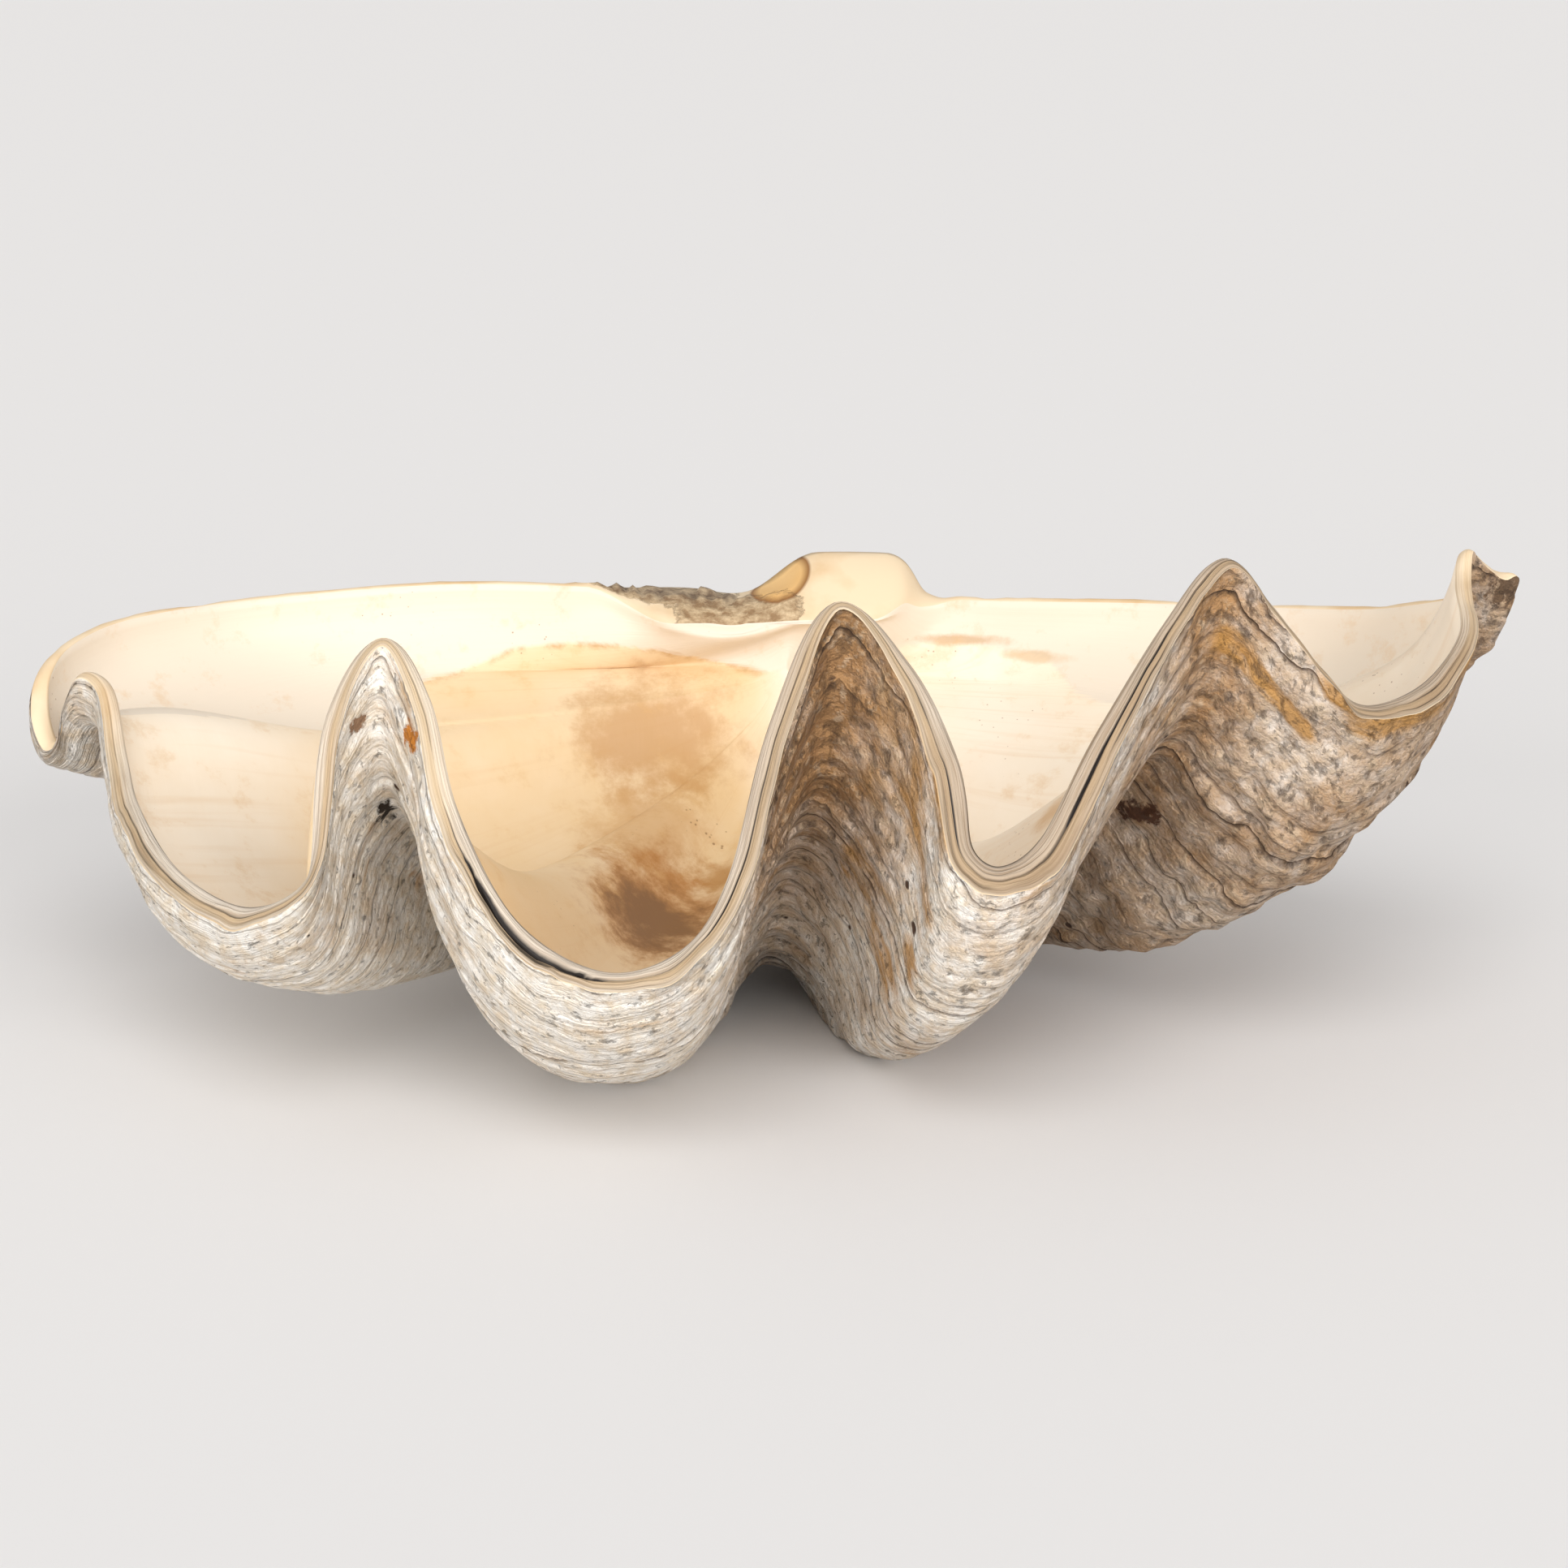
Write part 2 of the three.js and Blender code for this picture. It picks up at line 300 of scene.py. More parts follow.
# Valve.
# The whole shell half as one closed skin: beak, outer rows, lip, inner rows, cavity. Its map runs along the
# rim and along the growth in real metres, so that layers and streaks can follow the growth.
rings = np.concatenate([outer[1:], lip_rows, inner[:-1]])
points = np.concatenate([[BEAK], rings.reshape(-1, 3), [BEAK + CAVITY]]) - CENTRE
points[:, 2] = np.maximum(points[:, 2], 0)
ROWS = len(rings)
column = np.arange(COLUMNS)
after = (column + 1) % COLUMNS
row = np.arange(ROWS - 1)[:, None]
quads = np.stack([1 + row * COLUMNS + column, 1 + row * COLUMNS + after,
                  1 + (row + 1) * COLUMNS + after, 1 + (row + 1) * COLUMNS + column], axis=-1).reshape(-1, 4)
first = np.stack([np.zeros_like(column), 1 + after, 1 + column], axis=-1)
end = 1 + (ROWS - 1) * COLUMNS
final = np.stack([np.full_like(column, len(points) - 1), end + column, end + after], axis=-1)
mesh = bpy.data.meshes.new("valve_shell")
mesh.from_pydata((points / 1000).tolist(), [], quads.tolist() + first.tolist() + final.tolist())

lip_width = np.linalg.norm(edge_in - edge_out, axis=1).mean()
grow_in = np.interp(t_in, t_out, grown) + lip_width
row_mm = np.concatenate([-grown[1:], LAYER_AT * lip_width, grow_in[:-1]])
u_quad = np.stack([rim_mm[column], rim_mm[column + 1], rim_mm[column + 1], rim_mm[column]], axis=-1)
v_quad = np.stack([row_mm[:-1], row_mm[:-1], row_mm[1:], row_mm[1:]], axis=-1)
u_all = np.broadcast_to(u_quad[None], (ROWS - 1, COLUMNS, 4)).reshape(-1)
v_all = np.broadcast_to(v_quad[:, None], (ROWS - 1, COLUMNS, 4)).reshape(-1)
u_first = np.stack([rim_mm[column], rim_mm[column + 1], rim_mm[column]], axis=-1).reshape(-1)
v_first = np.tile([-grown[0], row_mm[0], row_mm[0]], COLUMNS)
u_final = np.stack([rim_mm[column], rim_mm[column], rim_mm[column + 1]], axis=-1).reshape(-1)
v_final = np.tile([grow_in[-1], row_mm[-1], row_mm[-1]], COLUMNS)
growth_map = np.stack([np.concatenate([u_all, u_first, u_final]),
                       np.concatenate([v_all, v_first, v_final])], axis=-1)
growth_layer = mesh.uv_layers.new(name="growth")
growth_layer.data.foreach_set("uv", (growth_map / 1000).astype(np.float32).ravel())

OUT_ROWS = len(outer) - 1
LIP_ROWS = len(lip_rows)
zone = np.where(row[:, 0] < OUT_ROWS - 1, 0, np.where(row[:, 0] < OUT_ROWS + LIP_ROWS, 1, 2))
zone = np.concatenate([np.repeat(zone, COLUMNS), np.zeros(COLUMNS, int), np.full(COLUMNS, 2)])
mesh.polygons.foreach_set("material_index", zone.astype(np.int32))
mesh.polygons.foreach_set("use_smooth", np.ones(len(zone), dtype=bool))


def paint(name, values, start=0):
    """Stores one number per point for a material to read: rows of values from row start on, 0 elsewhere."""
    grid = np.zeros((ROWS, COLUMNS))
    grid[start:start + len(values)] = values
    layer = mesh.attributes.new(name, "FLOAT", "POINT")
    layer.data.foreach_set("value", np.concatenate([[0], grid.ravel(), [0]]).astype(np.float32))


IN_START = OUT_ROWS + LIP_ROWS
# Soil per column: grey-brown stain in the grooves, at the right end and on the lip, and also painted light
# and shade: lowered on rib 1 and the right flank of rib 2, which lie in shade, and raised on the top of the
# middle groove and on the right end, partly as painted shade where they catch much light.
SOIL_AND_SHADE_AT = [0, 5, 9, 12, 17, 19.2, 21, 23, 25, 27, 29, 30.6, 33, 35, 37, 38.5, 40, 44, 46, 50, 54]
SOIL_AND_SHADE = [0.25, 0.2, 0.05, 0.05, -0.08, 0.02, 0.0, -0.03, 0.02, 0.1, 0.37, 0.08, 0.12, 0.24, 0.46, 0.34,
        0.38, 0.42, 0.42, 0.25, 0.25]
soil_and_shade_grid = np.tile(np.interp(place, SOIL_AND_SHADE_AT, SOIL_AND_SHADE), (OUT_ROWS + LIP_ROWS + 1, 1))
# Middle groove: painted shade near the rim and painted light lower down, where the groove lies in shade.
soil_and_shade_grid[:OUT_ROWS] += between(28, 30.4, 0.8, place) * (0.22 - 0.3 * ease(30, 150, grown[1:, None]))
soil_and_shade_grid[:OUT_ROWS] += (1 - ease(0.1, 0.55, t_out[1:, None])) * (0.18 - soil_and_shade_grid[:OUT_ROWS])
soil_and_shade_grid[OUT_ROWS:] += 0.1 + 0.3 * between(31.2, 38, 0.8, place)
paint("soil_and_shade", soil_and_shade_grid)
streaky = 0.75 * between(37.2, 38.8, 0.4, place) * between(18, 24, 3, grown[1:, None])
streaky = streaky + 0.7 * between(29.9, 31.6, 0.5, place) * between(12, 90, 25, grown[1:, None])
streaky = streaky + 0.8 * between(39.2, 43, 0.6, place) * ease(-12, -3, -grown[1:, None])
paint("ochre", streaky)
paint("front", np.broadcast_to(front * (0.1 + 0.9 * parted), (LIP_ROWS + 1, COLUMNS)), OUT_ROWS)
paint("gap", np.clip(gaps / 3.2, 0, 1), OUT_ROWS)
paint("layer", np.broadcast_to(layer_all, (LIP_ROWS + 1, COLUMNS)), OUT_ROWS)
paint("ligament", torn, OUT_ROWS)
SCAR_X = [-446, -400, -350, -330, -290, -250, -219, -180, -137, -84, -29, 40, 106, 148, 171, 201, 260, 330,
          400, 444]
SCAR_Y = [30, 36, 40, 90, 102, 160, 204, 222, 231, 236, 239, 240, 237, 230, 212, 189, 150, 100, 60, 50]
inside = inner[:-1] - CENTRE
scar_ahead = (inside[..., 1] - np.interp(inside[..., 0], SCAR_X, SCAR_Y)) / 10
scar_level = np.interp(inside[..., 0], [-211, -190, -169, -137, -104, -73, -43, -6, 40, 86, 122, 150, 180],
                       [154, 160, 168, 170, 169, 166, 158, 152, 155, 168, 171, 165, 164])
at_back = between(-205, 165, 30, inside[..., 0]) * ease(120, 170, inside[..., 1])
above_scar = scar_ahead + at_back * ((inside[..., 2] - scar_level) / 7 - scar_ahead)
t_inside = t_in[:-1, None]
in_left_trough = between(12.7, 21, 0.3, place) * ease(0.5, 0.65, t_inside)
behind_ridge = between(4, 12.2, 0.3, place) * ease(0.66, 0.72, t_inside)
above_scar = np.clip(above_scar - 9 * in_left_trough + 9 * behind_ridge, -1, 1)
paint("above_scar", above_scar, IN_START)
# Share of tan below the scar along the length; kept low at the left end, partly as painted light in the
# shaded left trough.
tan_share = np.interp(inside[..., 0], [-446, -300, -250, -25, 25, 230, 275, 444],
                      [0.18, 0.18, 0.9, 0.95, 0.15, 0.08, 0.05, 0.05])
paint("tan_share", tan_share, IN_START)
valve = bpy.data.objects.new("valve_shell", mesh)
bpy.context.scene.collection.objects.link(valve)


def tint(code):
    """sRGB hex to linear RGBA."""
    c = np.array([int(code[i:i + 2], 16) for i in (0, 2, 4)]) / 255
    linear = np.where(c <= 0.04045, c / 12.92, ((c + 0.055) / 1.055) ** 2.4)
    return (*linear.tolist(), 1.0)


def add(tree, kind, inputs=None, out=0, **settings):
    """Adds a node, sets its properties, fills its inputs with values or links, and gives one output."""
    node = tree.nodes.new(kind)
    for name, value in settings.items():
        setattr(node, name, value)
    for name, value in (inputs or {}).items():
        if isinstance(value, bpy.types.NodeSocket):
            tree.links.new(value, node.inputs[name])
        else:
            node.inputs[name].default_value = value
    return node.outputs[out] if len(node.outputs) else node


def finish_of(name):
    """A new node material on the valve, with an empty tree."""
    material = bpy.data.materials.new(name)
    material.use_nodes = True
    material.node_tree.nodes.clear()
    valve.data.materials.append(material)
    return material.node_tree


# Outside of the shell.
# Old aragonite weathered by the sea: chalky and dull, white on the ribs and stained grey-brown in the
# grooves and at the right end; the amount of grey-brown per column also paints shade where the light is
# strong and light where the ribs lie in shade. The eye sees fine brown growth lines along the rim, a broken
# dark line under each ledge that is painted shade, brown specks, borer pits painted dark as the shade inside
# them, and ochre streaks.
tree = finish_of("weathered_aragonite")
spot_3d = add(tree, "ShaderNodeTexCoord", out="Object")
grown_2d = add(tree, "ShaderNodeUVMap", uv_map="growth")
soil_and_shade = add(tree, "ShaderNodeAttribute", out="Fac", attribute_name="soil_and_shade")
ochre_part = add(tree, "ShaderNodeAttribute", out="Fac", attribute_name="ochre")
wobble = add(tree, "ShaderNodeTexNoise", {"Vector": spot_3d, "Scale": 35.0, "Detail": 3.0}, out="Color")
shift = add(tree, "ShaderNodeVectorMath", {0: wobble, 1: (0.0, 0.012, 0.0)}, operation="MULTIPLY")
flow = add(tree, "ShaderNodeVectorMath", {0: grown_2d, 1: shift}, operation="ADD")
# Lamellae: a step every 6.5 mm of growth, bent by soft noise and with a strength of its own. A near-black
# line at the edge of each step is painted shade under the ledge.
bend = add(tree, "ShaderNodeTexNoise", {"Vector": spot_3d, "Scale": 7.0, "Detail": 2.0})
bent = add(tree, "ShaderNodeMath", {0: bend, 1: 5.0}, operation="MULTIPLY")
growth_y = add(tree, "ShaderNodeSeparateXYZ", {"Vector": flow}, out="Y")
step_at = add(tree, "ShaderNodeMath", {0: growth_y, 1: 155.0, 2: bent}, operation="MULTIPLY_ADD")
step_part = add(tree, "ShaderNodeMath", {0: step_at}, operation="FRACT")
step_number = add(tree, "ShaderNodeMath", {0: step_at}, operation="FLOOR")
step_luck = add(tree, "ShaderNodeTexWhiteNoise", {"W": step_number}, noise_dimensions="1D")
step_line = add(tree, "ShaderNodeMapRange", {"Value": step_part, "From Min": 0.7, "From Max": 0.97})
step_some = add(tree, "ShaderNodeMapRange", {"Value": step_luck, "From Min": 0.2, "From Max": 0.9})
# Fine growth lines: 90 mm by 2 mm, twice as coarse as the real ones so that they show.
fine_at = add(tree, "ShaderNodeVectorMath", {0: flow, 1: (11, 480, 1)}, operation="MULTIPLY")
fine = add(tree, "ShaderNodeTexNoise", {"Vector": fine_at, "Scale": 1.0, "Detail": 3.0, "Roughness": 0.6})
fine_dark = add(tree, "ShaderNodeMapRange", {"Value": fine, "From Min": 0.5, "From Max": 0.34,
                                             "To Max": 0.14})
patch = add(tree, "ShaderNodeTexNoise", {"Vector": spot_3d, "Scale": 15.0, "Detail": 6.0, "Roughness": 0.6})
smear_at = add(tree, "ShaderNodeVectorMath", {0: flow, 1: (22, 75, 1)}, operation="MULTIPLY")
smear = add(tree, "ShaderNodeTexNoise", {"Vector": smear_at, "Scale": 1.0, "Detail": 5.0,
                                         "Roughness": 0.65})
mottle = add(tree, "ShaderNodeTexNoise", {"Vector": spot_3d, "Scale": 75.0, "Detail": 6.0,
                                          "Roughness": 0.7})
grit = add(tree, "ShaderNodeTexNoise", {"Vector": spot_3d, "Scale": 150.0, "Detail": 4.0, "Roughness": 0.6})
# Dirt: patches, smears and mottle added to the soil value, so it carries that value's painted light and shade
# too.
patch_dirt_and_shade = add(tree, "ShaderNodeMath", {0: patch, 1: 0.7, 2: soil_and_shade}, operation="MULTIPLY_ADD")
smear_dirt_and_shade = add(tree, "ShaderNodeMath", {0: smear, 1: 0.4, 2: patch_dirt_and_shade}, operation="MULTIPLY_ADD")
all_dirt_and_shade = add(tree, "ShaderNodeMath", {0: mottle, 1: 0.5, 2: smear_dirt_and_shade}, operation="MULTIPLY_ADD")
dirt_and_shade = add(tree, "ShaderNodeMapRange", {"Value": all_dirt_and_shade, "From Min": 0.8, "From Max": 1.36})
chalk_share = add(tree, "ShaderNodeMapRange", {"Value": mottle, "From Min": 0.4, "From Max": 0.62})
chalk = add(tree, "ShaderNodeMix", {"Factor": chalk_share, "A": tint("F7F1E8"), "B": tint("E9DAC4")}, out=2,
            data_type="RGBA")
soiled_and_shaded = add(tree, "ShaderNodeMix", {"Factor": dirt_and_shade, "A": chalk, "B": tint("B2885C")}, out=2,
             data_type="RGBA")
flecks = add(tree, "ShaderNodeMapRange", {"Value": grit, "From Min": 0.54, "From Max": 0.68, "To Max": 0.4})
flecked = add(tree, "ShaderNodeMix", {"Factor": flecks, "A": soiled_and_shaded, "B": tint("E6D4BA")}, out=2,
              data_type="RGBA")
lined = add(tree, "ShaderNodeMix", {"Factor": fine_dark, "A": flecked, "B": tint("80623F")}, out=2,
            data_type="RGBA")
# Painted shade under each ledge: the step line, broken up at random and stronger where soil and shade are
# high.
step_broken = add(tree, "ShaderNodeMapRange", {"Value": smear, "From Min": 0.28, "From Max": 0.47})
step_soil_and_shade = add(tree, "ShaderNodeMapRange", {"Value": soil_and_shade, "From Min": -0.1, "From Max": 0.4,
                                             "To Min": 0.62, "To Max": 1.0})
step_seen = add(tree, "ShaderNodeMath", {0: step_line, 1: step_some}, operation="MULTIPLY")
step_kept = add(tree, "ShaderNodeMath", {0: step_seen, 1: step_broken}, operation="MULTIPLY")
step_shade_share = add(tree, "ShaderNodeMath", {0: step_kept, 1: step_soil_and_shade}, operation="MULTIPLY")
ledge_shaded = add(tree, "ShaderNodeMix", {"Factor": step_shade_share, "A": lined, "B": tint("4A3524")}, out=2,
              data_type="RGBA")
rust_at = add(tree, "ShaderNodeVectorMath", {0: flow, 1: (11, 60, 1)}, operation="MULTIPLY")
rust = add(tree, "ShaderNodeTexNoise", {"Vector": rust_at, "Scale": 1.0, "Detail": 4.0, "Distortion": 1.0})
rust_sum = add(tree, "ShaderNodeMath", {0: ochre_part, 1: 0.3, 2: rust}, operation="MULTIPLY_ADD")
rust_share = add(tree, "ShaderNodeMapRange", {"Value": rust_sum, "From Min": 0.63, "From Max": 0.8,
                                              "To Max": 0.85})
rust_and_hole_shade = add(tree, "ShaderNodeMix", {"Factor": rust_share, "A": ledge_shaded, "B": tint("BC8A48")}, out=2,
            data_type="RGBA")
# Chips and holes by the points and the broken right tip: centre and radii in metres, colour. The near-black
# mark is painted shade inside a hole.
MARKS = [
    ((-0.193, -0.203, 0.217), (0.005, 0.014, 0.010), "C27A2E"),
    ((-0.221, -0.186, 0.222), (0.005, 0.010, 0.005), "96755A"),
    ((-0.212, -0.150, 0.162), (0.006, 0.012, 0.008), "2E2218"),
    ((0.207, -0.068, 0.138), (0.016, 0.018, 0.009), "5C3A24"),
    ((0.437, 0.058, 0.245), (0.016, 0.024, 0.016), "7A6048"),
]
for centre, radii, colour in MARKS:
    offset = add(tree, "ShaderNodeVectorMath", {0: spot_3d, 1: centre}, operation="SUBTRACT")
    scaled = add(tree, "ShaderNodeVectorMath", {0: offset, 1: radii}, operation="DIVIDE")
    reach = add(tree, "ShaderNodeVectorMath", {0: scaled}, out="Value", operation="LENGTH")
    uneven = add(tree, "ShaderNodeMath", {0: grit, 1: 3.0, 2: reach}, operation="MULTIPLY_ADD")
    share = add(tree, "ShaderNodeMapRange", {"Value": uneven, "From Min": 2.5, "From Max": 2.1})
    rust_and_hole_shade = add(tree, "ShaderNodeMix", {"Factor": share, "A": rust_and_hole_shade, "B": tint(colour)}, out=2,
                data_type="RGBA")
# Dark specks of 2 to 6 mm drawn out along the rim, closer together where the soil-and-shade value is high.
speck_at = add(tree, "ShaderNodeVectorMath", {0: flow, 1: (90, 190, 1)}, operation="MULTIPLY")
speck_noise = add(tree, "ShaderNodeTexNoise", {"Vector": speck_at, "Scale": 1.0, "Detail": 7.0,
                                               "Roughness": 0.75})
speck_sum = add(tree, "ShaderNodeMath", {0: soil_and_shade, 1: 0.1, 2: speck_noise}, operation="MULTIPLY_ADD")
specks = add(tree, "ShaderNodeMapRange", {"Value": speck_sum, "From Min": 0.57, "From Max": 0.71,
                                          "To Max": 0.75})
# Borer pits of 2 to 7 mm, ragged, in about every third cell of 22 mm, painted dark brown as the shade inside
# them.
pit_bent = add(tree, "ShaderNodeVectorMath", {0: wobble, 1: (0.02, 0.02, 0.02)}, operation="MULTIPLY")
pit_at = add(tree, "ShaderNodeVectorMath", {0: spot_3d, 1: pit_bent}, operation="ADD")
pit_cell = add(tree, "ShaderNodeTexVoronoi", {"Vector": pit_at, "Scale": 45.0})
pit_luck = pit_cell.node.outputs["Color"]
pit_size = add(tree, "ShaderNodeMapRange", {"Value": pit_luck, "From Min": 0.56, "From Max": 0.9,
                                            "To Max": 0.17})
pit_in = add(tree, "ShaderNodeMath", {0: pit_size, 1: pit_cell}, operation="SUBTRACT")
pit_shade = add(tree, "ShaderNodeMapRange", {"Value": pit_in, "From Min": 0.0, "From Max": 0.05})
# Brown specks are stain; the pits in the same mask are painted shade.
specks_and_pit_shade = add(tree, "ShaderNodeMath", {0: specks, 1: pit_shade}, operation="MAXIMUM")
speckled_and_pit_shaded = add(tree, "ShaderNodeMix", {"Factor": specks_and_pit_shade, "A": rust_and_hole_shade, "B": tint("50392A")}, out=2,
             data_type="RGBA")
lumps = add(tree, "ShaderNodeMath", {0: soil_and_shade, 1: 2.0, 2: 0.45}, operation="MULTIPLY_ADD")
high_lumps = add(tree, "ShaderNodeMath", {0: mottle, 1: lumps}, operation="MULTIPLY")
step_tall = add(tree, "ShaderNodeMath", {0: soil_and_shade, 1: 2.0, 2: 0.8}, operation="MULTIPLY_ADD")
high_step = add(tree, "ShaderNodeMath", {0: step_part, 1: step_tall, 2: high_lumps},
                operation="MULTIPLY_ADD")
high_fine = add(tree, "ShaderNodeMath", {0: fine, 1: 0.4, 2: high_step}, operation="MULTIPLY_ADD")
high_grit = add(tree, "ShaderNodeMath", {0: grit, 1: 0.35, 2: high_fine}, operation="MULTIPLY_ADD")
high = add(tree, "ShaderNodeMath", {0: specks_and_pit_shade, 1: -0.5, 2: high_grit}, operation="MULTIPLY_ADD")
bump = add(tree, "ShaderNodeBump", {"Height": high, "Strength": 1.0, "Distance": 0.004})
skin = add(tree, "ShaderNodeBsdfPrincipled", {"Base Color": speckled_and_pit_shaded, "Roughness": 0.88, "IOR": 1.53,
                                              "Specular IOR Level": 0.3, "Normal": bump})
add(tree, "ShaderNodeOutputMaterial", {"Surface": skin})

# Lip of the shell.
# Broken edge of the growth layers: chalky outside, tan in the middle, a rounded white layer inside, with
# painted black shade in the gaps. At the hinge the ligament is a rough brown crust, the socket amber, the
# tooth cream.
tree = finish_of("laminated_aragonite")
spot_3d = add(tree, "ShaderNodeTexCoord", out="Object")
grown_2d = add(tree, "ShaderNodeUVMap", uv_map="growth")
gap = add(tree, "ShaderNodeAttribute", out="Fac", attribute_name="gap")
layer = add(tree, "ShaderNodeAttribute", out="Fac", attribute_name="layer")
ligament = add(tree, "ShaderNodeAttribute", out="Fac", attribute_name="ligament")
in_front = add(tree, "ShaderNodeAttribute", out="Fac", attribute_name="front")
cloud = add(tree, "ShaderNodeTexNoise", {"Vector": spot_3d, "Scale": 20.0, "Detail": 5.0})
# Layers about 1.5 mm thick, wavering over 80 mm of the rim.
sheet_at = add(tree, "ShaderNodeVectorMath", {0: grown_2d, 1: (12, 650, 1)}, operation="MULTIPLY")
sheets = add(tree, "ShaderNodeTexNoise", {"Vector": sheet_at, "Scale": 1.0, "Detail": 3.0})
sheet_dark = add(tree, "ShaderNodeMapRange", {"Value": sheets, "From Min": 0.52, "From Max": 0.38,
                                              "To Max": 0.58})
stack = add(tree, "ShaderNodeValToRGB", {"Fac": layer})
ramp = stack.node.color_ramp
ramp.elements[0].color = tint("E2D6C6")
ramp.elements[1].position = 0.2
ramp.elements[1].color = tint("D3BE9F")
ramp.elements.new(0.3).color = tint("CFB48E")
ramp.elements.new(0.42).color = tint("D6BE9B")
ramp.elements.new(0.56).color = tint("F0E4D2")
ramp.elements.new(1.0).color = tint("F7EEE0")
banded = add(tree, "ShaderNodeMix", {"Factor": sheet_dark, "A": stack, "B": tint("86684A")}, out=2,
             data_type="RGBA")
margin_share = add(tree, "ShaderNodeMapRange", {"Value": cloud, "From Min": 0.46, "From Max": 0.72,
                                                "To Max": 0.7})
margin = add(tree, "ShaderNodeMix", {"Factor": margin_share, "A": tint("E8D1AF"), "B": tint("CFA366")},
             out=2, data_type="RGBA")
front_share = add(tree, "ShaderNodeMapRange", {"Value": in_front, "From Min": 0.1, "From Max": 0.6})
edge_colour = add(tree, "ShaderNodeMix", {"Factor": front_share, "A": margin, "B": banded}, out=2,
                  data_type="RGBA")
# Grey-brown on the lip from the same soil value: stain together with its painted light and shade.
soil_and_shade = add(tree, "ShaderNodeAttribute", out="Fac", attribute_name="soil_and_shade")
soil_and_shade_sum = add(tree, "ShaderNodeMath", {0: sheets, 1: 1.3, 2: soil_and_shade}, operation="MULTIPLY_ADD")
soil_and_shade_share = add(tree, "ShaderNodeMapRange", {"Value": soil_and_shade_sum, "From Min": 0.55, "From Max": 1.0,
                                              "To Max": 0.72})
soil_and_shade_here = add(tree, "ShaderNodeMath", {0: soil_and_shade_share, 1: front_share}, operation="MULTIPLY")
edge_colour = add(tree, "ShaderNodeMix", {"Factor": soil_and_shade_here, "A": edge_colour, "B": tint("9C8163")},
                  out=2, data_type="RGBA")
# Painted shade: the gaps between the parted layers are coloured near-black.
gap_shade_share = add(tree, "ShaderNodeMapRange", {"Value": gap, "From Min": 0.15, "From Max": 0.6})
gap_shaded = add(tree, "ShaderNodeMix", {"Factor": gap_shade_share, "A": edge_colour, "B": tint("1E140D")}, out=2,
             data_type="RGBA")
# Crust of the ligament: lumps of 5 to 10 mm.
crust = add(tree, "ShaderNodeTexNoise", {"Vector": spot_3d, "Scale": 130.0, "Detail": 5.0,
                                         "Roughness": 0.65})
crust_share = add(tree, "ShaderNodeMapRange", {"Value": crust, "From Min": 0.38, "From Max": 0.64})
crust_rear = add(tree, "ShaderNodeMix", {"Factor": crust_share, "A": tint("705A44"), "B": tint("B8A182")},
                 out=2, data_type="RGBA")
crust_front = add(tree, "ShaderNodeMix", {"Factor": crust_share, "A": tint("967651"), "B": tint("D6BC96")},
                  out=2, data_type="RGBA")
tier = add(tree, "ShaderNodeMapRange", {"Value": layer, "From Min": 0.35, "From Max": 0.75})
crust_colour = add(tree, "ShaderNodeMix", {"Factor": tier, "A": crust_rear, "B": crust_front}, out=2,
                   data_type="RGBA")
torn_edge = add(tree, "ShaderNodeMath", {0: crust, 1: 1.2, 2: ligament}, operation="MULTIPLY_ADD")
torn_share = add(tree, "ShaderNodeMapRange", {"Value": torn_edge, "From Min": 1.05, "From Max": 1.2})
crusted = add(tree, "ShaderNodeMix", {"Factor": torn_share, "A": gap_shaded, "B": crust_colour}, out=2,
              data_type="RGBA")
socket_at = np.round((SOCKET - CENTRE) / 1000, 4).tolist()
socket_off = add(tree, "ShaderNodeVectorMath", {0: spot_3d, 1: socket_at}, operation="SUBTRACT")
socket_unit = add(tree, "ShaderNodeVectorMath", {0: socket_off, 1: (0.021, 0.026, 0.026)},
                  operation="DIVIDE")
socket_reach = add(tree, "ShaderNodeVectorMath", {0: socket_unit}, out="Value", operation="LENGTH")
socket_in = add(tree, "ShaderNodeMapRange", {"Value": socket_reach, "From Min": 1.05, "From Max": 0.95})
socket_floor = add(tree, "ShaderNodeMix", {"Factor": cloud, "A": tint("F0CF97"), "B": tint("D59B4C")},
                   out=2, data_type="RGBA")
socket_edge = add(tree, "ShaderNodeMapRange", {"Value": socket_reach, "From Min": 0.7, "From Max": 0.97})
socket_colour = add(tree, "ShaderNodeMix", {"Factor": socket_edge, "A": socket_floor, "B": tint("8A5A26")},
                    out=2, data_type="RGBA")
lip_colour = add(tree, "ShaderNodeMix", {"Factor": socket_in, "A": crusted, "B": socket_colour}, out=2,
                 data_type="RGBA")
sheet_high = add(tree, "ShaderNodeMath", {0: sheets, 1: front_share}, operation="MULTIPLY")
high = add(tree, "ShaderNodeMath", {0: crust, 1: torn_share, 2: sheet_high}, operation="MULTIPLY_ADD")
bump = add(tree, "ShaderNodeBump", {"Height": high, "Strength": 0.8, "Distance": 0.003})
skin = add(tree, "ShaderNodeBsdfPrincipled", {"Base Color": lip_colour, "Roughness": 0.6, "IOR": 1.53,
                                              "Normal": bump})
add(tree, "ShaderNodeOutputMaterial", {"Surface": skin})

